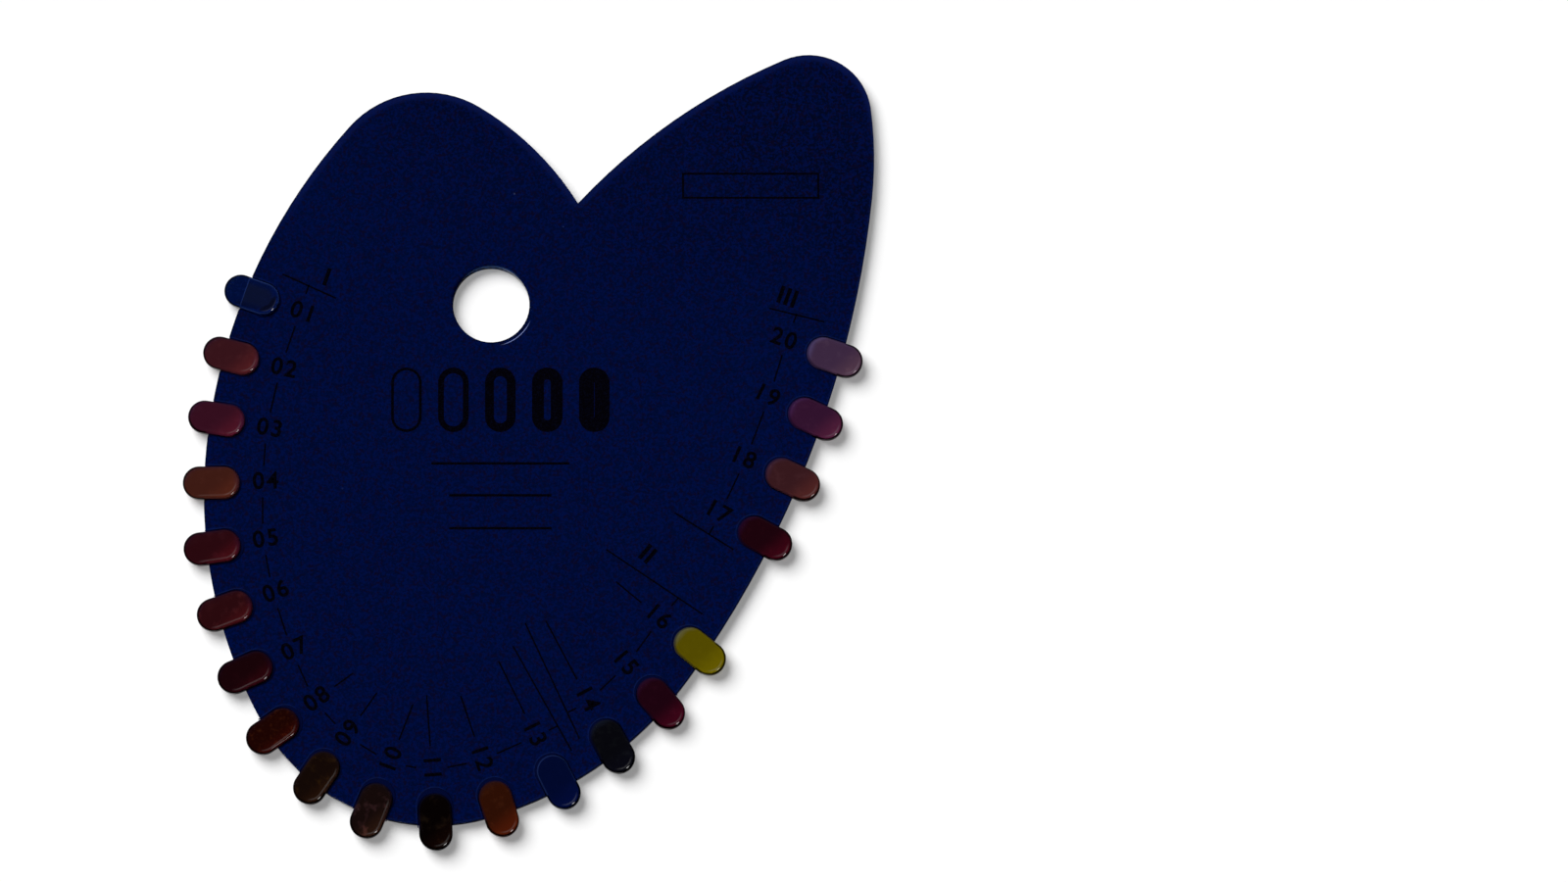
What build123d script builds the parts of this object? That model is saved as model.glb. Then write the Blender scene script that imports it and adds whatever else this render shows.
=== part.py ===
from build123d import *
import os

# A dental shade guide: a flat acrylic plate with two rounded lobes and a hanging hole,
# and twenty glazed ceramic samples bonded into pockets milled along its edge.
# Lengths are millimetres and angles are degrees. The plate lies on its back at z = 0,
# +Z points out of the printed face and +Y runs up the plate. The origin is the centre
# of the hole, on the back face.

# Plate
plate_thickness = 3.0
edge_break = 0.25
hole_diameter = 15.0
hole_rim_radius = 0.6

# Outline of the plate: tangent arcs, each with its radius and its sweep, from the notch
# round the left lobe, down the left side and round the right lobe back to the notch
notch_x = 17.05
notch_y = 20.15
notch_heading = 121.69
left_flank_radius = 58.4
left_flank_sweep = 27.1
left_crown_radius = 20.1
left_crown_sweep = 79.7
left_side_radius = 113.2
left_side_sweep = 35.2
left_waist_radius = 94.0
left_waist_sweep = 35.3
left_heel_radius = 38.2
left_heel_sweep = 76.9
right_heel_radius = 73.0
right_heel_sweep = 38.6
right_side_radius = 199.7
right_side_sweep = 29.3
right_shoulder_radius = 77.3
right_shoulder_sweep = 13.4
right_crown_radius = 12.3
right_crown_sweep = 106.0

# Ceramic sample: a pressed lozenge with round ends, a low crown and soft shoulders
sample_length = 11.2
sample_width = 6.5
sample_height = 2.5
crown_rise = 0.3
shoulder_radius = 0.9
foot_radius = 0.25

# Pockets, which lie at even steps along the outline
pocket_depth = 1.5
pocket_clearance = 0.25
overhang = 4.15
first_station = 94.8
station_pitch = 12.91
blank_station = 16

# How each sample was set by hand, in the order of the outline: the turn of its pocket away
# from square to the edge, and how far it stands further out than the first one
pocket_turns = [
    1.0, 0.0, 0.0, 1.0, 0.5, 4.5, 1.0, 2.0, 5.0, -4.0,
    2.0, -1.0, 0.0, -8.5, -9.0, -4.0, -1.0, -2.5, -5.0, -2.5,
]
sample_creep = [
    0.0, 0.0, 0.2, 0.0, 0.4, 0.2, 0.2, 0.5, 0.2, 0.7,
    0.8, 0.4, 0.1, 0.0, 0.3, 0.2, 0.0, 0.1, 0.0, 0.0,
]

pocket_floor = plate_thickness - pocket_depth


# Outline, closed by the right lobe's flank, which ends in the notch
outline_arcs = []
with BuildLine() as outline:
    start = Vector(notch_x, notch_y)
    along = Vector(1, 0).rotate(Axis.Z, notch_heading)
    for radius, sweep in (
        (left_flank_radius, left_flank_sweep),
        (left_crown_radius, left_crown_sweep),
        (left_side_radius, left_side_sweep),
        (left_waist_radius, left_waist_sweep),
        (left_heel_radius, left_heel_sweep),
        (right_heel_radius, right_heel_sweep),
        (right_side_radius, right_side_sweep),
        (right_shoulder_radius, right_shoulder_sweep),
        (right_crown_radius, right_crown_sweep),
    ):
        arc = JernArc(start, along, radius, sweep)
        outline_arcs.append(arc)
        start, along = arc @ 1, arc % 1
    outline_arcs.append(TangentArc(start, outline_arcs[0] @ 0, tangent=along))


def station_plane(distance, turn, height):
    """The plane of a station: X points out over the edge, and the origin lies under
    the middle of a sample that stands out by the overhang."""
    for arc in outline_arcs:
        if distance < arc.length:
            break
        distance -= arc.length
    edge_point = arc.position_at(distance, position_mode=PositionMode.LENGTH)
    along = arc.tangent_at(distance, position_mode=PositionMode.LENGTH)
    outward = Vector(along.Y, -along.X, 0)
    middle = edge_point - outward * (sample_length / 2 - overhang)
    square = Plane(origin=(middle.X, middle.Y, height), x_dir=outward, z_dir=(0, 0, 1))
    return square.rotated((0, 0, turn))


def station_distance(index):
    """How far along the outline a sample sits; one station is left blank."""
    step = index if index < blank_station else index + 1
    return first_station + step * station_pitch


# Backing plate
with BuildPart() as backing_plate:
    with BuildSketch() as plate_shape:
        add(outline.line)
        make_face()
    extrude(amount=plate_thickness)
    outline_rims = backing_plate.edges().filter_by(Plane.XY)
    chamfer(outline_rims, edge_break)
    Hole(hole_diameter / 2)
    hole_rims = backing_plate.edges().filter_by(lambda edge: edge.is_closed)
    fillet(hole_rims.sort_by(Axis.Z)[-1], hole_rim_radius)
    pocket_reach = 2 * sample_length
    pocket_inner_end = -sample_length / 2 - pocket_clearance
    for index, turn in enumerate(pocket_turns):
        with BuildSketch(station_plane(station_distance(index), turn, plate_thickness)):
            with Locations((pocket_inner_end + pocket_reach / 2, 0)):
                SlotOverall(pocket_reach, sample_width + 2 * pocket_clearance)
        extrude(amount=-pocket_depth, mode=Mode.SUBTRACT)


def half_section():
    """Half of the lozenge's cross-section, from its middle line out to one side."""
    half_width = sample_width / 2
    side_height = sample_height - crown_rise
    with BuildLine() as profile:
        Polyline((0, sample_height), (0, 0), (half_width, 0), (half_width, side_height))
        TangentArc((0, sample_height), (half_width, side_height), tangent=(1, 0))
    face = make_face(profile.edges())
    shoulder = face.vertices().group_by(Axis.X)[-1].sort_by(Axis.Y)[-1]
    shouldered = fillet(shoulder, shoulder_radius)
    foot = shouldered.vertices().group_by(Axis.Y)[0].sort_by(Axis.X)[-1]
    fillet(foot, foot_radius)


# Samples
os.makedirs("parts", exist_ok=True)
straight_run = sample_length - sample_width
for index, (turn, creep) in enumerate(zip(pocket_turns, sample_creep)):
    seat = station_plane(station_distance(index), turn, pocket_floor)
    inner_end = Plane(
        origin=seat.from_local_coords(Vector(creep - straight_run / 2, 0, 0)),
        x_dir=seat.y_dir,
        z_dir=seat.x_dir,
    )
    outer_end = inner_end.offset(straight_run)
    with BuildPart() as sample:
        with BuildSketch(inner_end):
            half_section()
            mirror(about=Plane.YZ)
        extrude(amount=straight_run)
        with BuildSketch(inner_end):
            half_section()
        revolve(axis=Axis(inner_end.origin, (0, 0, 1)), revolution_arc=180)
        with BuildSketch(outer_end):
            half_section()
        revolve(axis=Axis(outer_end.origin, (0, 0, -1)), revolution_arc=180)
    sample.part.label = f"sample_{index + 1:02d}"
    export_step(sample.part, f"parts/{sample.part.label}.step")

backing_plate.part.label = "backing_plate"
export_step(backing_plate.part, "parts/backing_plate.step")
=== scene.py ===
import math

import bmesh
import bpy
from mathutils import Matrix, Vector

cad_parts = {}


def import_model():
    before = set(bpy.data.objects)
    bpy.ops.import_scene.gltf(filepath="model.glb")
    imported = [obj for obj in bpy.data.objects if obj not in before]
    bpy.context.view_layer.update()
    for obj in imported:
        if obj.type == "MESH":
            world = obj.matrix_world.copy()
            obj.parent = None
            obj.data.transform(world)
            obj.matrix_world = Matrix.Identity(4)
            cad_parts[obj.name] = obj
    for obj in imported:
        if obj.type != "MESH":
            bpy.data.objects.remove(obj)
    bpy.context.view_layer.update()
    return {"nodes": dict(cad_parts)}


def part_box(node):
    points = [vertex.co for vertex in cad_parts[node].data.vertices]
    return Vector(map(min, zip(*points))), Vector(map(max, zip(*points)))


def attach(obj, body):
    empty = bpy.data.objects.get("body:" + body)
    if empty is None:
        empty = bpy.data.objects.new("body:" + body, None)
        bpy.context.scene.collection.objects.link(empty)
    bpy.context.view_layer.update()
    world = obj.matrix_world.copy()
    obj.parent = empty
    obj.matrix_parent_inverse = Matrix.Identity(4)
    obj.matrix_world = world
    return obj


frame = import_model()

# The dental shade guide as it lies in the photograph: the plate on its back on a white
# floor, seen from almost straight above. Lengths are metres, in the frame of the model.
MM = 0.001

PLATE = "backing_plate"
SAMPLES = sorted(name for name in frame["nodes"] if name.startswith("sample_"))
plate_low, plate_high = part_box(PLATE)
PLATE_MIDDLE = Vector(((plate_low[0] + plate_high[0]) / 2, (plate_low[1] + plate_high[1]) / 2))
PLATE_TOP = plate_high[2]
BODY = "root"

# The key light comes from the north-west and high up; what faces the other way is
# called the far side here
KEY_AZIMUTH = 225
KEY_ELEVATION = 50
FAR_SIDE = Vector((0.64, -0.77, 0.0))
NORTH = Vector((0.0, 1.0, 0.0))


def direction_to(azimuth, elevation):
    """The way to a light; azimuth 0 is south of the object and 90 is east of it."""
    a, e = math.radians(azimuth), math.radians(elevation)
    return Vector((math.sin(a) * math.cos(e), -math.cos(a) * math.cos(e), math.sin(e)))


KEY_WAY = direction_to(KEY_AZIMUTH, KEY_ELEVATION)


# Colours, given as they look on a screen from 0 to 255
def seen(red, green, blue, alpha=1.0):
    def linear(value):
        value /= 255
        return value / 12.92 if value <= 0.04045 else ((value + 0.055) / 1.055) ** 2.4
    return (linear(red), linear(green), linear(blue), alpha)


# Gloss of the flats and of the walls, and where between them it fades out, by how far
# up the surface faces: 1 is straight up and 0 is level
FLAT_GLOSS = 0.5
WALL_GLOSS = 0.35
FLAT_FADE = 0.12
WALL_FADE = (0.1, 0.3)


# Node helpers
class Shader:
    """One material's node tree, with short calls for the nodes that are used here."""

    def __init__(self, name, **settings):
        self.material = bpy.data.materials.new(name)
        self.material.use_nodes = True
        self.tree = self.material.node_tree
        self.surface = self.tree.nodes["Principled BSDF"]
        for socket, value in settings.items():
            self.surface.inputs[socket.replace("_", " ")].default_value = value

    def put(self, node, socket, value):
        target = node.inputs[socket]
        if isinstance(value, bpy.types.NodeSocket):
            self.tree.links.new(value, target)
        else:
            target.default_value = value

    def node(self, kind, inputs=(), **settings):
        made = self.tree.nodes.new(kind)
        for name, value in settings.items():
            setattr(made, name, value)
        for socket, value in dict(inputs).items():
            self.put(made, socket, value)
        return made

    def math(self, operation, first, second=0.0):
        made = self.node("ShaderNodeMath", {0: first, 1: second}, operation=operation)
        return made.outputs[0]

    def product(self, first, second):
        return self.math("MULTIPLY", first, second)

    def fade(self, value, start, end, low=0.0, high=1.0):
        """Runs smoothly from low to high while value runs from start to end."""
        made = self.node("ShaderNodeMapRange", interpolation_type="SMOOTHSTEP")
        for socket, given in enumerate((value, start, end, low, high)):
            self.put(made, socket, given)
        return made.outputs[0]

    def band(self, value, start, end, soft):
        """1 between start and end, and 0 outside, with soft flanks."""
        rise = self.fade(value, start - soft, start)
        fall = self.fade(value, end, end + soft, 1.0, 0.0)
        return self.product(rise, fall)

    def mix(self, amount, first, second, blend="MIX"):
        made = self.node("ShaderNodeMix", data_type="RGBA", blend_type=blend)
        self.put(made, 0, amount)
        self.put(made, 6, first)
        self.put(made, 7, second)
        return made.outputs[2]

    def scaled(self, colour, factor):
        made = self.node("ShaderNodeVectorMath", {0: colour, "Scale": factor}, operation="SCALE")
        return made.outputs[0]

    def place(self, centre=(0, 0, 0), turn=0.0):
        """The surface point seen from a frame at centre, turned about Z."""
        point = self.node("ShaderNodeTexCoord").outputs["Object"]
        return self.node("ShaderNodeMapping", {
            "Vector": point, "Location": centre, "Rotation": (0, 0, turn),
        }, vector_type="TEXTURE").outputs[0]

    def noise(self, point, scale, detail=2.0, roughness=0.5):
        made = self.node("ShaderNodeTexNoise", {
            "Vector": point, "Scale": scale, "Detail": detail, "Roughness": roughness,
        })
        return made.outputs[0]

    def speckled(self, shade, point, grains, detail, roughness, stretch, share, colour):
        """The shade with a noise of so many grains a metre over it, whose peaks take the
        colour by at most this share."""
        peaks = self.fade(self.noise(point, grains, detail, roughness), *stretch, 0.0, share)
        return self.mix(peaks, shade, seen(*colour))

    def split(self, vector):
        return self.node("ShaderNodeSeparateXYZ", {0: vector}).outputs

    def joined(self, x, y):
        return self.node("ShaderNodeCombineXYZ", {0: x, 1: y}).outputs[0]

    def length(self, vector):
        return self.node("ShaderNodeVectorMath", {0: vector}, operation="LENGTH").outputs["Value"]

    def toward(self, vector, way):
        """How far a direction or place lies along the given way."""
        made = self.node("ShaderNodeVectorMath", {0: vector, 1: way}, operation="DOT_PRODUCT")
        return made.outputs["Value"]

    def normal(self):
        return self.node("ShaderNodeNewGeometry").outputs["Normal"]

    def soft_normal(self, radius):
        """The normal as if every edge were rounded off by this radius."""
        return self.node("ShaderNodeBevel", {"Radius": radius}, samples=6).outputs[0]

    def gloss(self, facing, flat):
        """Full gloss on the flats and some on the walls, and none on the rounded rims
        between, which would mirror the floor."""
        top = self.fade(facing, flat - FLAT_FADE, flat, 0.0, FLAT_GLOSS)
        walls = self.fade(facing, *WALL_FADE, WALL_GLOSS, 0.0)
        self.put(self.surface, "Specular IOR Level", self.math("ADD", top, walls))

    def bump(self, height, strength, distance):
        made = self.node("ShaderNodeBump", {
            "Height": height, "Strength": strength, "Distance": distance,
        })
        self.tree.links.new(made.outputs[0], self.surface.inputs["Normal"])

    def colour(self, value):
        self.put(self.surface, "Base Color", value)


def dress(name, material):
    """Gives a CAD node its material."""
    mesh = frame["nodes"][name].data
    mesh.materials.clear()
    mesh.materials.append(material)


# Plate
NAVY = seen(1, 10, 47)
RIGHT_LOBE_NAVY = seen(2, 7, 31)
SPECK = seen(70, 82, 120)
# Painted glow in the lobes, and painted light and painted shade along the edges
LOBE_GLOW = seen(11, 22, 74)
LIT_EDGE = seen(25, 40, 96)
UNLIT_EDGE = seen(0, 3, 22)
WALL_NAVY = seen(2, 9, 42)
# Painted light on the hole's north rim, and a painted glint on its far side
LIT_HOLE_RIM = seen(44, 74, 130)
HOLE_GLINT = seen(130, 145, 200)

# Grain over the navy: grains a metre, detail, roughness, the stretch of the noise over
# which the colour comes in, its share and the colour
PLATE_GRAIN = (
    (28, 3, 0.5, (0.4, 0.7), 0.5, (1, 12, 49)),
    (700, 2, 0.7, (0.45, 0.62), 0.75, (11, 7, 31)),
    (1900, 2, 0.7, (0.42, 0.6), 0.75, (1, 15, 67)),
    (1500, 1, 0.5, (0.5, 0.72), 0.5, (1, 8, 36)),
)
SPECKS_A_METRE = 210
SPECK_SIZE = (0.03, 0.05)
SPECK_PICK = (0.88, 0.92)
SPECK_SHARE = 0.3

# The right lobe is darker: how much the way there leans east, and where it comes in
LOBE_LEAN = 0.35
LOBE_DUSK = (0.0, 50 * MM)

# Edges, with painted light and painted shade: how wide the line and the painted glow are, how far
# the softened normal leans where each comes in, its share, and how far up the plate the glow starts
EDGE_LINE = 0.5 * MM
EDGE_GLOW = 2.2 * MM
GLOW_LEAN = (0.0, 0.1)
GLOW_SHARE = 0.85
GLOW_START = (12 * MM, 25 * MM)
LIT_LEAN = (0.05, 0.3)
LIT_SHARE = 0.35
UNLIT_LEAN = (-0.5, -0.15)
UNLIT_SHARE = 0.85

# How far up the plate's flats face, where its walls end, and the waves in its polish
PLATE_FLAT = 0.99
PLATE_WALL = (0.1, 0.4)
PLATE_WAVES_A_METRE = 60

# Round the hole: how far from its centre the painted light line of the edges starts, the painted
# light rim on its north side and the painted glint on its far side. A band is its two radii and its
# soft flank.
HOLE_RADIUS = 7.5 * MM
HOLE_GUARD = (HOLE_RADIUS + 1.5 * MM, HOLE_RADIUS + 2.5 * MM)
RIM_BAND = (HOLE_RADIUS - 0.1 * MM, HOLE_RADIUS + 0.12 * MM, 0.15 * MM)
RIM_REACH = (0.6, 0.98)
RIM_SHARE = 0.9
GLINT_BAND = (HOLE_RADIUS + 0.83 * MM, HOLE_RADIUS + 0.86 * MM, 0.08 * MM)
GLINT_REACH = (0.88, 1.0)


def grained_navy(shader, point):
    """The navy of the flats, with its darker right lobe, its grain and a few pale specks."""
    across, along, _ = shader.split(point)
    up_right = shader.math("ADD", along, shader.product(across, LOBE_LEAN))
    shade = shader.mix(shader.fade(up_right, *LOBE_DUSK), NAVY, RIGHT_LOBE_NAVY)
    for layer in PLATE_GRAIN:
        shade = shader.speckled(shade, point, *layer)
    specks = shader.node("ShaderNodeTexVoronoi", {"Vector": point, "Scale": SPECKS_A_METRE})
    small = shader.fade(specks.outputs["Distance"], *SPECK_SIZE, 1.0, 0.0)
    picked = shader.fade(shader.split(specks.outputs["Color"])[0], *SPECK_PICK)
    speck = shader.product(small, picked)
    return shader.mix(shader.product(speck, SPECK_SHARE), shade, SPECK)


def lit_edges(shader, shade, along, from_hole):
    """A painted glow inside the crowns of the lobes, and a fine painted line along the edges, a
    painted highlight where they face the far side and painted shade where they face the key."""
    clear_of_hole = shader.fade(from_hole, *HOLE_GUARD)
    # Painted glow inside the crowns of the lobes
    wide_turn = shader.soft_normal(EDGE_GLOW)
    glow = shader.fade(shader.toward(wide_turn, NORTH), *GLOW_LEAN, 0.0, GLOW_SHARE)
    on_lobes = shader.fade(along, *GLOW_START)
    shade = shader.mix(shader.product(glow, on_lobes), shade, LOBE_GLOW)
    # Painted light on edges facing the far side, painted shade on those facing the key
    fine_turn = shader.soft_normal(EDGE_LINE)
    lean = shader.toward(fine_turn, FAR_SIDE)
    lit = shader.fade(lean, *LIT_LEAN, 0.0, LIT_SHARE)
    shade = shader.mix(shader.product(lit, clear_of_hole), shade, LIT_EDGE)
    unlit = shader.fade(lean, *UNLIT_LEAN, UNLIT_SHARE, 0.0)
    return shader.mix(unlit, shade, UNLIT_EDGE)


def hole_rings(shader, shade, flat_spot, along, from_hole):
    """A painted light rim on the hole's north side and a fine painted glint on its far side."""
    # Painted light on the hole's north rim
    rim = shader.band(from_hole, *RIM_BAND)
    northward = shader.math("DIVIDE", along, from_hole)
    north_share = shader.fade(northward, *RIM_REACH, 0.0, RIM_SHARE)
    shade = shader.mix(shader.product(rim, north_share), shade, LIT_HOLE_RIM)
    # Painted glint on the hole's far side
    glint = shader.band(from_hole, *GLINT_BAND)
    farward = shader.math("DIVIDE", shader.toward(flat_spot, FAR_SIDE), from_hole)
    far_share = shader.fade(farward, *GLINT_REACH)
    return shader.mix(shader.product(glint, far_share), shade, HOLE_GLINT)


def acrylic():
    """Polished navy acrylic with a fine grain, with painted light and painted shade on its edges by
    where they face, a painted glow in its lobes and painted light round the hole.
    """
    shader = Shader("navy_acrylic", Roughness=0.07, IOR=1.49)
    point = shader.place()
    across, along, _ = shader.split(point)
    flat_spot = shader.joined(across, along)
    from_hole = shader.length(flat_spot)
    facing = shader.split(shader.normal())[2]
    shader.gloss(facing, PLATE_FLAT)

    shade = grained_navy(shader, point)
    shade = lit_edges(shader, shade, along, from_hole)
    shade = shader.mix(shader.fade(facing, *PLATE_WALL, 1.0, 0.0), shade, WALL_NAVY)
    shade = hole_rings(shader, shade, flat_spot, along, from_hole)
    shader.colour(shade)
    shader.bump(shader.noise(point, PLATE_WAVES_A_METRE), strength=0.05, distance=0.4 * MM)
    return shader.material


dress(PLATE, acrylic())


# Samples, which stand out over the plate's edge
SAMPLE_OVERHANG = 4.15 * MM


class Lozenge:
    """Where a ceramic sample lies: its middle, its way out over the edge and its size."""

    def __init__(self, node):
        points = [vertex.co for vertex in node.data.vertices]
        low = Vector(min(p[i] for p in points) for i in range(3))
        high = Vector(max(p[i] for p in points) for i in range(3))
        self.middle = (low + high) / 2
        farthest = max(points, key=lambda p: (p - self.middle).xy.length)
        along = (farthest - self.middle).xy.normalized()
        if along.dot(self.middle.xy - PLATE_MIDDLE) < 0:
            along = -along
        self.out = along
        self.left = Vector((-along.y, along.x))
        self.angle = math.atan2(along.y, along.x)
        self.half_length = max((p - self.middle).xy.dot(self.out) for p in points)
        self.half_width = max((p - self.middle).xy.dot(self.left) for p in points)
        self.straight = self.half_length - self.half_width
        self.edge_spot = self.half_length - SAMPLE_OVERHANG


lozenges = {name: Lozenge(frame["nodes"][name]) for name in SAMPLES}

# Each sample's body colour, the colour at its inner end, which is also painted along its near rim as
# a reflection, and the colour of its flecks, with how strongly the flecks show and how many there
# are a metre
SHADES = {
    "sample_01": ((2, 13, 54), (2, 13, 50), (10, 30, 84), 0.5, 1300),
    "sample_02": ((54, 20, 26), (44, 18, 34), (76, 36, 40), 0.25, 700),
    "sample_03": ((52, 15, 30), (44, 16, 38), (70, 26, 44), 0.25, 700),
    "sample_04": ((61, 27, 20), (52, 24, 30), (80, 40, 32), 0.25, 700),
    "sample_05": ((41, 9, 15), (36, 10, 24), (60, 20, 28), 0.3, 600),
    "sample_06": ((41, 10, 14), (36, 10, 22), (66, 26, 30), 0.55, 500),
    "sample_07": ((24, 4, 8), (22, 5, 16), (42, 12, 18), 0.25, 700),
    "sample_08": ((28, 5, 3), (25, 6, 10), (58, 24, 8), 0.55, 1300),
    "sample_09": ((19, 9, 6), (22, 12, 12), (48, 30, 10), 0.45, 700),
    "sample_10": ((20, 10, 9), (18, 11, 14), (54, 32, 34), 0.65, 550),
    "sample_11": ((5, 2, 2), (5, 3, 8), (30, 22, 14), 0.45, 400),
    "sample_12": ((44, 15, 5), (40, 17, 15), (72, 34, 18), 0.25, 600),
    "sample_13": ((2, 9, 43), (2, 9, 47), (6, 16, 64), 0.15, 600),
    "sample_14": ((7, 7, 12), (16, 20, 32), (22, 24, 26), 0.3, 600),
    "sample_15": ((29, 4, 15), (38, 10, 34), (46, 12, 26), 0.25, 600),
    "sample_16": ((82, 73, 2), (88, 86, 56), (98, 88, 8), 0.25, 700),
    "sample_17": ((28, 4, 12), (34, 7, 32), (48, 12, 22), 0.25, 600),
    "sample_18": ((54, 25, 29), (58, 32, 48), (76, 42, 46), 0.25, 600),
    "sample_19": ((49, 19, 45), (58, 28, 68), (70, 36, 62), 0.25, 600),
    "sample_20": ((59, 40, 64), (72, 60, 98), (84, 62, 84), 0.25, 600),
}

# The clear samples, and how much shows through each
GLASSY = {"sample_01": 1.0, "sample_13": 0.0}

# How much the painted light makes the far side brighter: on the bluish samples by a fixed gain, and
# on the others by one that falls with the red of the body, more for red than green and blue
BLUISH_GAIN = (1.2, 1.2, 1.5, 1.0)
BLUISH_FROM = 1.2
GAIN_LEAST = 1.45
GAIN_MOST = 3.4
GAIN_START = 4.8
GAIN_PER_RED = 0.052
GREEN_PER_SHARE = 1.6
BLUE_GAIN_SHARE = 0.3

# How far up a sample's top faces, the dimples in its glaze and the noise of its flecks
SAMPLE_FLAT = 0.88
DIMPLES_A_METRE = 300
FLECK_DETAIL = 3
FLECK_ROUGHNESS = 0.6
FLECK_STRETCH = (0.5, 0.75)

# Where the tints, the painted reflection and light, the painted highlight arc and the rims lie. The
# inner end is reckoned along the sample in half lengths, a radius is 1 at the outline, and far is 1
# at the far outline. Two shares are the one over the plate and the one past its edge.
INNER_END = (-0.98, -0.7)
# Where the painted reflection along the near rim lies
NEAR_RIM_FAR = (-0.85, -0.3)
NEAR_RIM_RADIUS = (0.6, 0.95)
# Where the painted light towards the far side comes in
BRIGHTER_FROM = (0.05, 0.85)
EDGE_SPREAD = 0.3 * MM
# The painted highlight arc: its band of radii, where it comes in towards the far side, its share,
# the lift of its colour and the share of the body in it
HIGHLIGHT_ARC = (0.74, 0.77, 0.05)
HIGHLIGHT_ARC_FAR = (0.45, 0.75)
HIGHLIGHT_ARC_SHARE = 0.25
HIGHLIGHT_ARC_LIFT = 90
HIGHLIGHT_ARC_BODY = 0.6
# The least share of the key that the painted light on the shoulders makes up for
LEAST_KEY_SHARE = 0.2
BLUE_RIM = seen(10, 14, 52)
BLUE_RIM_RADIUS = (0.86, 0.97)
BLUE_RIM_SHARES = (0.5, 0.0)
DARK_RIM_RADIUS = (0.84, 0.92)
DARK_RIM_SHARES = (0.35, 0.97)
DARK_RIM_BODY = 0.15


def far_gain(body):
    """How much the painted light at the far side strengthens each channel: more on the dark samples,
    and warmer unless the body is bluish."""
    red, green, blue = body
    if blue > BLUISH_FROM * red:
        return BLUISH_GAIN
    gain = min(GAIN_MOST, max(GAIN_LEAST, GAIN_START - GAIN_PER_RED * red))
    green_share = min(1.0, GREEN_PER_SHARE * green / red)
    return (gain, 1 + (gain - 1) * green_share, 1 + (gain - 1) * BLUE_GAIN_SHARE, 1.0)


class SamplePlace:
    """Where a point of a sample's surface lies, as node sockets."""

    def __init__(self, shader, lozenge):
        local = shader.place(lozenge.middle, lozenge.angle)
        self.out, side, _ = shader.split(local)

        # The nearest point of the middle line runs between the centres of the round ends
        beyond = shader.math("SUBTRACT", shader.math("ABSOLUTE", self.out), lozenge.straight)
        past = shader.math("MAXIMUM", beyond, 0.0)
        from_line = shader.joined(shader.product(past, shader.math("SIGN", self.out)), side)
        self.radius = shader.math("DIVIDE", shader.length(from_line), lozenge.half_width)

        # How far towards the far side it lies, from the middle line and from the middle
        way = FAR_SIDE.xy.normalized()
        local_way = (way.dot(lozenge.out), way.dot(lozenge.left), 0.0)
        self.far = shader.math("DIVIDE", shader.toward(from_line, local_way), lozenge.half_width)
        self.whole_far = shader.math("DIVIDE", shader.toward(local, local_way), lozenge.half_length)
        self.over_edge = shader.fade(self.out, lozenge.edge_spot - EDGE_SPREAD,
                                     lozenge.edge_spot + EDGE_SPREAD)


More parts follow.
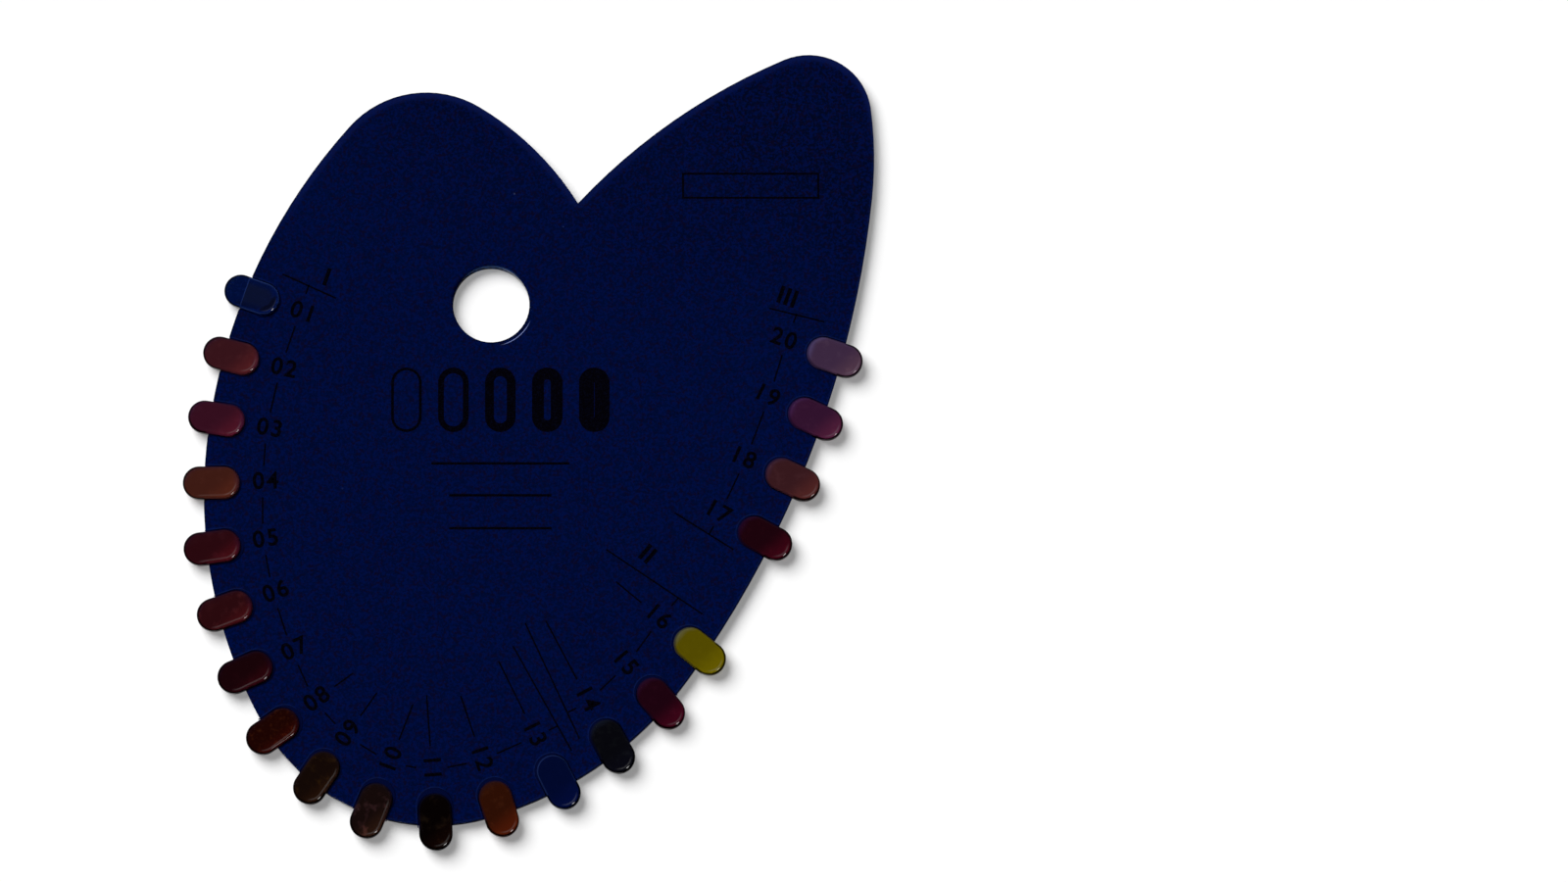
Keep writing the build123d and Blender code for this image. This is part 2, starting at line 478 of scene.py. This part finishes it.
def ceramic(name):
    """Glazed ceramic: mottled body colour, another tint at the inner end, which is also painted
    along the near rim as a reflection, and painted light towards its far side, standing in for light
    that gathers inside the glaze, with a painted highlight arc and painted light on the shoulders."""
    body, inner, fleck, fleck_share, flecks = SHADES[name]
    lozenge = lozenges[name]
    shader = Shader(name + "_glaze", Roughness=0.1, IOR=1.5)
    spot = SamplePlace(shader, lozenge)
    point = shader.place()
    lean = shader.normal()
    shader.gloss(shader.split(lean)[2], SAMPLE_FLAT)

    inner_start, inner_end = (share * lozenge.half_length for share in INNER_END)
    at_inner_end = shader.fade(spot.out, inner_start, inner_end, 1.0, 0.0)
    # A painted reflection along the near rim, in the tint of the inner end
    near_rim_reflection = shader.product(shader.fade(spot.far, *NEAR_RIM_FAR, 1.0, 0.0),
                              shader.fade(spot.radius, *NEAR_RIM_RADIUS))
    tint = shader.math("MAXIMUM", at_inner_end, near_rim_reflection)
    shade = shader.mix(tint, seen(*body), seen(*inner))
    shade = shader.speckled(shade, point, flecks, FLECK_DETAIL, FLECK_ROUGHNESS,
                            FLECK_STRETCH, fleck_share, fleck)
    # Painted light, brighter towards the far side
    far_light = shader.mix(1.0, shade, far_gain(body), "MULTIPLY")
    shade = shader.mix(shader.fade(spot.whole_far, *BRIGHTER_FROM), shade, far_light)
    # A painted highlight arc towards the far side
    line = shader.product(shader.band(spot.radius, *HIGHLIGHT_ARC),
                          shader.fade(spot.far, *HIGHLIGHT_ARC_FAR, 0.0, HIGHLIGHT_ARC_SHARE))
    highlight_colour = (channel * HIGHLIGHT_ARC_BODY + HIGHLIGHT_ARC_LIFT for channel in body)
    shade = shader.mix(line, shade, seen(*highlight_colour))

    # Painted light on the shoulders: the colour is raised where the key light grazes them, standing
    # in for the key light that the ceramic scatters, so its shoulders don't fall off as a matt one's
    # would
    key_share = shader.math("DIVIDE", shader.toward(lean, KEY_WAY), KEY_WAY.z)
    shoulder_light = shader.math("DIVIDE", 1.0, shader.math("MAXIMUM", key_share, LEAST_KEY_SHARE))
    shade = shader.scaled(shade, shoulder_light)

    # The rim is bluish over the plate and dark past its edge
    blue = shader.product(shader.fade(spot.radius, *BLUE_RIM_RADIUS),
                          shader.fade(spot.over_edge, 0.0, 1.0, *BLUE_RIM_SHARES))
    shade = shader.mix(blue, shade, BLUE_RIM)
    dark = shader.product(shader.fade(spot.radius, *DARK_RIM_RADIUS),
                          shader.fade(spot.over_edge, 0.0, 1.0, *DARK_RIM_SHARES))
    shade = shader.mix(dark, shade, seen(*(channel * DARK_RIM_BODY for channel in body)))
    if name in GLASSY:
        shade = seen_through(shader, shade, lozenge, spot, GLASSY[name])
    shader.colour(shade)
    shader.bump(shader.noise(point, DIMPLES_A_METRE, 1), strength=0.03, distance=0.3 * MM)
    return shader.material


# Inside a clear sample: a dull core, a dark trough towards the far side, the plate's edge
# below as a painted light line and a painted light outline, which shows a little even where nothing
# else does
CORE = seen(13, 18, 40)
CORE_RADIUS = (0.4, 0.8)
CORE_SHARE = 0.75
CORE_EDGE = 0.1 * MM
TROUGH = seen(8, 9, 18)
TROUGH_BAND = (0.55, 0.72, 0.12)
TROUGH_FAR = (0.2, 0.5)
TROUGH_SHARE = 0.8
# The plate's edge below, painted as a light line, and the painted light outline
EDGE_BELOW = seen(34, 52, 108)
EDGE_BELOW_BAND = (-0.02 * MM, 0.04 * MM, 0.1 * MM)
EDGE_BELOW_SHARE = 0.5
LIT_OUTLINE = seen(38, 58, 112)
LIT_OUTLINE_BAND = (0.9, 0.93, 0.04)
LIT_OUTLINE_SHARES = (0.25, 0.35)


def seen_through(shader, shade, lozenge, spot, clearness):
    """What shows inside a clear sample: the plate's edge under it as a painted light line and a
    painted light outline.
    """
    on_plate = shader.fade(spot.out, lozenge.edge_spot - CORE_EDGE, lozenge.edge_spot + CORE_EDGE,
                           1.0, 0.0)
    inside = shader.fade(spot.radius, *CORE_RADIUS, CORE_SHARE * clearness, 0.0)
    shade = shader.mix(shader.product(on_plate, inside), shade, CORE)
    trough = shader.product(shader.band(spot.radius, *TROUGH_BAND),
                            shader.fade(spot.far, *TROUGH_FAR))
    shade = shader.mix(shader.product(trough, TROUGH_SHARE * clearness), shade, TROUGH)
    # The plate's edge under the sample, as a painted light line
    start, end, soft = EDGE_BELOW_BAND
    edge = shader.band(spot.out, lozenge.edge_spot + start, lozenge.edge_spot + end, soft)
    shade = shader.mix(shader.product(edge, EDGE_BELOW_SHARE * clearness), shade, EDGE_BELOW)
    # A painted light outline
    outline = shader.product(shader.band(spot.radius, *LIT_OUTLINE_BAND), on_plate)
    always, when_clear = LIT_OUTLINE_SHARES
    outline = shader.product(outline, always + when_clear * clearness)
    return shader.mix(outline, shade, LIT_OUTLINE)


for name in SAMPLES:
    dress(name, ceramic(name))


# Thin pieces on the plate
def finish_piece(name, shape, material):
    """Makes a thin piece that rides with the plate."""
    mesh = bpy.data.meshes.new(name)
    shape.normal_update()
    shape.to_mesh(mesh)
    shape.free()
    mesh.materials.append(material)
    piece = bpy.data.objects.new(name, mesh)
    bpy.context.scene.collection.objects.link(piece)
    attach(piece, BODY)


# Adhesive that fills the gap between each sample and its pocket's wall. It lies a little
# below the plate's top, keeps clear of both walls and stops short of the plate's edge.
POCKET_GAP = 0.25 * MM
LONGEST_CREEP = 1.35 * MM
BOND_SINK = 0.06 * MM
BOND_SLACK = 0.02 * MM
BOND_STOP = 0.5 * MM
BOND_STEPS = 24

# Which points of the plate count as a pocket's inner end: at this height above or below
# its top at most, and this near the sample's axis, in half widths
SAME_HEIGHT = 0.01 * MM
NEAR_AXIS = 0.4


def bond():
    shader = Shader("pocket_bond", Roughness=0.25, IOR=1.45, Specular_IOR_Level=0.15)
    shader.colour(seen(3, 9, 44))
    return shader.material


def pocket_reach(lozenge):
    """How far in from the sample's middle its pocket ends on the plate's top."""
    reach = lozenge.half_length + POCKET_GAP
    limit = reach + LONGEST_CREEP
    for vertex in frame["nodes"][PLATE].data.vertices:
        away = (vertex.co - lozenge.middle).xy
        on_top = abs(vertex.co.z - PLATE_TOP) < SAME_HEIGHT
        on_axis = abs(away.cross(lozenge.out)) < NEAR_AXIS * lozenge.half_width
        inwards = -away.dot(lozenge.out)
        if on_top and on_axis and inwards < limit:
            reach = max(reach, inwards)
    return reach


def bond_row(shape, lozenge, reach, end):
    """Points of a strip's border: from one side of the plate's edge, round the inner end,
    whose centre lies at end, and back to the other side."""
    stop = lozenge.edge_spot - BOND_STOP
    places = [(stop, reach)]
    for step in range(BOND_STEPS + 1):
        turn = math.pi / 2 + math.pi * step / BOND_STEPS
        places.append((end + reach * math.cos(turn), reach * math.sin(turn)))
    places.append((stop, -reach))
    spots = [lozenge.middle.xy + lozenge.out * out + lozenge.left * side for out, side in places]
    return [shape.verts.new((spot.x, spot.y, PLATE_TOP - BOND_SINK)) for spot in spots]


def bond_lines():
    """A strip round each sample's seat, from one side of the plate's edge to the other."""
    shape = bmesh.new()
    for lozenge in lozenges.values():
        pocket_end = lozenge.half_width + POCKET_GAP - pocket_reach(lozenge)
        inner = bond_row(shape, lozenge, lozenge.half_width + BOND_SLACK, -lozenge.straight)
        outer = bond_row(shape, lozenge, lozenge.half_width + POCKET_GAP - BOND_SLACK, pocket_end)
        for index in range(len(inner) - 1):
            shape.faces.new((outer[index], outer[index + 1], inner[index + 1], inner[index]))
    finish_piece("bond_lines", shape, bond())


bond_lines()


# Print
PRINT_RISE = 0.01 * MM
PRINT_HEIGHT = PLATE_TOP + PRINT_RISE
DIGIT_HEIGHT = 3.4 * MM
FONT_CAP_SHARE = 0.73
LABEL_INSET = 10.6 * MM
LABEL_STYLE = {"weight": 0.03, "spacing": 1.2}
DASH_INSET = 10.0 * MM
DASH_END_GAP = 3.1 * MM
DASH_LEAST = 2.2 * DASH_END_GAP
NAME_GAP = 4.2 * MM
RULE_WIDTH = 0.32 * MM
RULE_START = 4.3 * MM
TICK_SPOT = 5.6 * MM
TICK_SHARE = 0.3
TICK_LENGTH = 1.9 * MM

# A group's number: beside its rule, and further in where the rule is this many
# millimetres long or more
HEADING_STYLE = {"weight": 0.05, "spacing": 1.1}
HEADING_OFFSET = 8.0 * MM
HEADING_INSET = 12.72 * MM
LONG_RULE = 20
LONG_HEADING_INSET = 20.0 * MM

# Neighbours with a rule between them, and so no dash
PARTED = {("sample_13", "sample_14"), ("sample_16", "sample_17")}

# Blank lines to write a name on, in millimetres from the number inwards, by the sample
# they belong to
NAME_LINES = {
    "sample_08": 4.5, "sample_09": 5.5, "sample_10": 7.5, "sample_11": 10.0,
    "sample_12": 8.5, "sample_13": 11.5, "sample_14": 13.0, "sample_16": 6.5,
}

# Rules with a tick that part the groups: the sample, which side of it they run on, how
# many millimetres inwards they reach and the group's number beyond them
GROUP_RULES = (
    ("sample_01", -1, 11.5, "I"),
    ("sample_13", 1, 23.5, ""),
    ("sample_14", -1, 25.0, ""),
    ("sample_16", 1, 22.5, "II"),
    ("sample_17", -1, 13.5, ""),
    ("sample_20", 1, 11.0, "III"),
)

# How far beside its sample a rule starts, and how much it closes in on the way, for rules
# with a number and without
NUMBERED_RULE = (5.9 * MM, 0.1)
PLAIN_RULE = (5.0 * MM, 0.05)

# The ink, and how it wears: patches a metre and the stretch of their noise
INK_COLOUR = seen(3, 2, 6)
WORN_COLOUR = seen(5, 6, 20)
WEAR_A_METRE = 3200
WEAR_STRETCH = (0.45, 0.75)


def ink():
    shader = Shader("print_ink", Roughness=0.3, IOR=1.3, Specular_IOR_Level=0.05)
    wear = shader.fade(shader.noise(shader.place(), WEAR_A_METRE), *WEAR_STRETCH)
    shader.colour(shader.mix(wear, INK_COLOUR, WORN_COLOUR))
    return shader.material


INK = ink()


def text_mesh(words, height, weight, spacing):
    """The words as a flat mesh centred on the origin, with capitals of this height."""
    curve = bpy.data.curves.new("words", "FONT")
    curve.body = words
    curve.size = height / FONT_CAP_SHARE
    curve.offset = weight * height
    curve.space_character = spacing
    curve.align_x = "CENTER"
    curve.align_y = "CENTER"
    holder = bpy.data.objects.new("words", curve)
    bpy.context.scene.collection.objects.link(holder)
    bpy.context.view_layer.update()
    graph = bpy.context.evaluated_depsgraph_get()
    mesh = bpy.data.meshes.new_from_object(holder.evaluated_get(graph))
    bpy.data.objects.remove(holder)
    bpy.data.curves.remove(curve)
    return mesh


def upright(angle):
    """The same direction, turned half round where words along it would be upside down."""
    return angle if abs(math.remainder(angle, 2 * math.pi)) <= math.pi / 2 else angle + math.pi


def beside(name, inwards, sideways=0.0):
    """A place on the plate, reckoned from a sample's middle in its own directions."""
    lozenge = lozenges[name]
    return lozenge.middle.xy - lozenge.out * inwards + lozenge.left * sideways


def add_words(shape, words, spot, angle, style):
    label = text_mesh(words, DIGIT_HEIGHT, **style)
    seat = Matrix.Translation((spot.x, spot.y, PRINT_HEIGHT))
    label.transform(seat @ Matrix.Rotation(angle, 4, "Z"))
    shape.from_mesh(label)
    bpy.data.meshes.remove(label)


def add_rule(shape, start, end, width=RULE_WIDTH):
    """A printed line from start to end."""
    side = (end - start).normalized().orthogonal() * (width / 2)
    corners = [start + side, end + side, end - side, start - side]
    shape.faces.new([shape.verts.new((c.x, c.y, PRINT_HEIGHT)) for c in corners])


def number_labels():
    """A number beside each sample, and a number for each group."""
    shape = bmesh.new()
    for number, name in enumerate(SAMPLES, 1):
        angle = upright(lozenges[name].angle)
        add_words(shape, f"{number:02d}", beside(name, LABEL_INSET), angle, LABEL_STYLE)
    for name, side, reach, group in GROUP_RULES:
        if group:
            inset = HEADING_INSET if reach < LONG_RULE else LONG_HEADING_INSET
            spot = beside(name, inset, side * HEADING_OFFSET)
            add_words(shape, group, spot, upright(lozenges[name].angle), HEADING_STYLE)
    finish_piece("print_numbers", shape, INK)


def ruled_lines():
    """Dashes between the numbers, blank name lines and the rules that part the groups."""
    shape = bmesh.new()
    for name, following in zip(SAMPLES, SAMPLES[1:]):
        if (name, following) in PARTED:
            continue
        start, end = beside(name, DASH_INSET), beside(following, DASH_INSET)
        trim = (end - start).normalized() * DASH_END_GAP
        if (end - start).length > DASH_LEAST:
            add_rule(shape, start + trim, end - trim)
    for name, length in NAME_LINES.items():
        start = LABEL_INSET + NAME_GAP
        add_rule(shape, beside(name, start), beside(name, start + length * MM))
    for name, side, reach, group in GROUP_RULES:
        offset, slant = NUMBERED_RULE if group else PLAIN_RULE
        near = side * offset
        far = near - side * slant * reach * MM
        add_rule(shape, beside(name, RULE_START, near), beside(name, RULE_START + reach * MM, far))
        foot = near + (far - near) * TICK_SHARE
        tick = RULE_START + TICK_SPOT
        add_rule(shape, beside(name, tick, foot), beside(name, tick, foot - side * TICK_LENGTH))
    finish_piece("print_rules", shape, INK)


# The middle of the plate: a row of lozenge outlines, each with a thicker wall than the one
# before, over three blank lines, and a blank field in the right lobe
SCALE_CENTRE = Vector((1.8 * MM, -19.0 * MM))
SCALE_COUNT = 5
SCALE_PITCH = 9.2 * MM
SCALE_HALF_WIDTH = 3.0 * MM
SCALE_HALF_RUN = 3.4 * MM
SCALE_WALL = 0.55 * MM
SCALE_FULL_WALL = 2.94 * MM
ROUND_STEPS = 20
BLANK_LINES = ((-31.6 * MM, 27.0 * MM), (-37.9 * MM, 20.0 * MM), (-44.4 * MM, 20.0 * MM))
BLANK_LINE_WIDTH = 0.5 * MM
FIELD_LOW = Vector((37.5 * MM, 21.0 * MM))
FIELD_HIGH = Vector((64.5 * MM, 26.2 * MM))
FIELD_WALL = Vector((0.4 * MM, 0.4 * MM))


def lozenge_outline(centre, half_width, half_run):
    """Points round an upright lozenge."""
    points = []
    for end, first in ((1, 0.0), (-1, math.pi)):
        for step in range(ROUND_STEPS + 1):
            angle = first + math.pi * step / ROUND_STEPS
            points.append(centre + Vector((half_width * math.cos(angle),
                                           half_width * math.sin(angle) + end * half_run)))
    return points


def box_outline(low, high):
    return [low, Vector((high.x, low.y)), high, Vector((low.x, high.y))]


def add_ring(shape, outer, inner):
    """A printed band between two outlines with as many points each."""
    rings = [[shape.verts.new((p.x, p.y, PRINT_HEIGHT)) for p in ring] for ring in (outer, inner)]
    for index in range(len(outer)):
        following = (index + 1) % len(outer)
        shape.faces.new((rings[0][index], rings[0][following], rings[1][following], rings[1][index]))


def middle_design():
    shape = bmesh.new()
    for index in range(SCALE_COUNT):
        centre = SCALE_CENTRE + Vector(((index - (SCALE_COUNT - 1) / 2) * SCALE_PITCH, 0))
        wall = SCALE_WALL + (SCALE_FULL_WALL - SCALE_WALL) * index / (SCALE_COUNT - 1)
        outer = lozenge_outline(centre, SCALE_HALF_WIDTH, SCALE_HALF_RUN)
        inner = lozenge_outline(centre, SCALE_HALF_WIDTH - wall, SCALE_HALF_RUN)
        add_ring(shape, outer, inner)
    for along, length in BLANK_LINES:
        half = Vector((length / 2, 0))
        middle = Vector((SCALE_CENTRE.x, along))
        add_rule(shape, middle - half, middle + half, BLANK_LINE_WIDTH)
    add_ring(shape, box_outline(FIELD_LOW, FIELD_HIGH),
             box_outline(FIELD_LOW + FIELD_WALL, FIELD_HIGH - FIELD_WALL))
    finish_piece("print_scale", shape, INK)


number_labels()
ruled_lines()
middle_design()


# Floor, lights and world: the floor's half width in metres, how far it lies under the
# plate and how much it glows, each light's spread in degrees and its strength, and how
# high over the horizon the world's light ends
FLOOR_HALF = 6.0
FLOOR_DROP = 0.02 * MM
FLOOR_GLOW = 0.27
KEY_SPREAD = 42
KEY_STRENGTH = 4.15
GLINT_WAY = direction_to(45, 33)
GLINT_SPREAD = 14
GLINT_STRENGTH = 0.7
HORIZON = (0.02, 0.3)
HORIZON_STRENGTH = 0.7


def floor():
    """A white floor that takes shadows and, as the camera sees it, glows a little."""
    mesh = bpy.data.meshes.new("floor")
    corners = [(x * FLOOR_HALF, y * FLOOR_HALF, 0) for x, y in ((-1, -1), (1, -1), (1, 1), (-1, 1))]
    mesh.from_pydata(corners, [], [(0, 1, 2, 3)])
    plane = bpy.data.objects.new("floor", mesh)
    plane.location.z = -FLOOR_DROP
    bpy.context.scene.collection.objects.link(plane)
    shader = Shader("floor_white", Roughness=1.0, Specular_IOR_Level=0.0)
    shader.colour((1, 1, 1, 1))
    glow = shader.node("ShaderNodeEmission", {"Color": (1, 1, 1, 1), "Strength": 1.0})
    rays = shader.node("ShaderNodeLightPath").outputs["Is Camera Ray"]
    blend = shader.node("ShaderNodeMixShader", {
        0: shader.product(rays, FLOOR_GLOW), 1: shader.surface.outputs[0], 2: glow.outputs[0],
    })
    output = shader.tree.nodes["Material Output"]
    shader.tree.links.new(blend.outputs[0], output.inputs["Surface"])
    mesh.materials.append(shader.material)


def distant_light(name, way, spread, strength, shines, mirrors):
    """A far lamp in the given way, spread degrees wide. It may light surfaces, show in
    their gloss, or both."""
    lamp = bpy.data.lights.new(name, "SUN")
    lamp.angle = math.radians(spread)
    lamp.energy = strength
    holder = bpy.data.objects.new(name, lamp)
    holder.rotation_euler = (-way).to_track_quat("-Z", "Y").to_euler()
    holder.visible_diffuse = shines
    holder.visible_glossy = mirrors
    bpy.context.scene.collection.objects.link(holder)


def world():
    """Dark overhead and pale at the horizon."""
    made = bpy.data.worlds.new("studio")
    bpy.context.scene.world = made
    made.use_nodes = True
    tree = made.node_tree
    background = tree.nodes["Background"]
    direction = tree.nodes.new("ShaderNodeTexCoord")
    split = tree.nodes.new("ShaderNodeSeparateXYZ")
    tree.links.new(direction.outputs["Generated"], split.inputs[0])
    ramp = tree.nodes.new("ShaderNodeMapRange")
    ramp.interpolation_type = "SMOOTHSTEP"
    for socket, value in enumerate((*HORIZON, HORIZON_STRENGTH, 0.0), 1):
        ramp.inputs[socket].default_value = value
    tree.links.new(split.outputs[2], ramp.inputs[0])
    background.inputs["Color"].default_value = (1, 1, 1, 1)
    tree.links.new(ramp.outputs[0], background.inputs["Strength"])


# Camera, at the photograph's framing
PHOTO_WIDTH = 1600
PHOTO_CENTRE = (800, 450)
TARGET_PIXEL = (540, 461)
VIEW_TARGET = Vector((7.45 * MM, -29.3 * MM, PLATE_TOP))
VIEW_ELEVATION = 81.5
VIEW_DISTANCE = 1.534
VIEW_LENS = 180
SENSOR_WIDTH = 36


def camera():
    data = bpy.data.cameras.new("camera")
    data.sensor_width = SENSOR_WIDTH
    data.lens = VIEW_LENS
    data.shift_x = (PHOTO_CENTRE[0] - TARGET_PIXEL[0]) / PHOTO_WIDTH
    data.shift_y = (TARGET_PIXEL[1] - PHOTO_CENTRE[1]) / PHOTO_WIDTH
    holder = bpy.data.objects.new("camera", data)
    e = math.radians(VIEW_ELEVATION)
    holder.location = VIEW_TARGET + VIEW_DISTANCE * Vector((0, -math.cos(e), math.sin(e)))
    holder.rotation_euler = (math.pi / 2 - e, 0, 0)
    bpy.context.scene.collection.objects.link(holder)
    bpy.context.scene.camera = holder


floor()
distant_light("key", KEY_WAY, KEY_SPREAD, KEY_STRENGTH, shines=True, mirrors=False)
distant_light("glint", GLINT_WAY, GLINT_SPREAD, GLINT_STRENGTH, shines=False, mirrors=True)
world()
camera()
bpy.context.scene.view_settings.view_transform = "Standard"
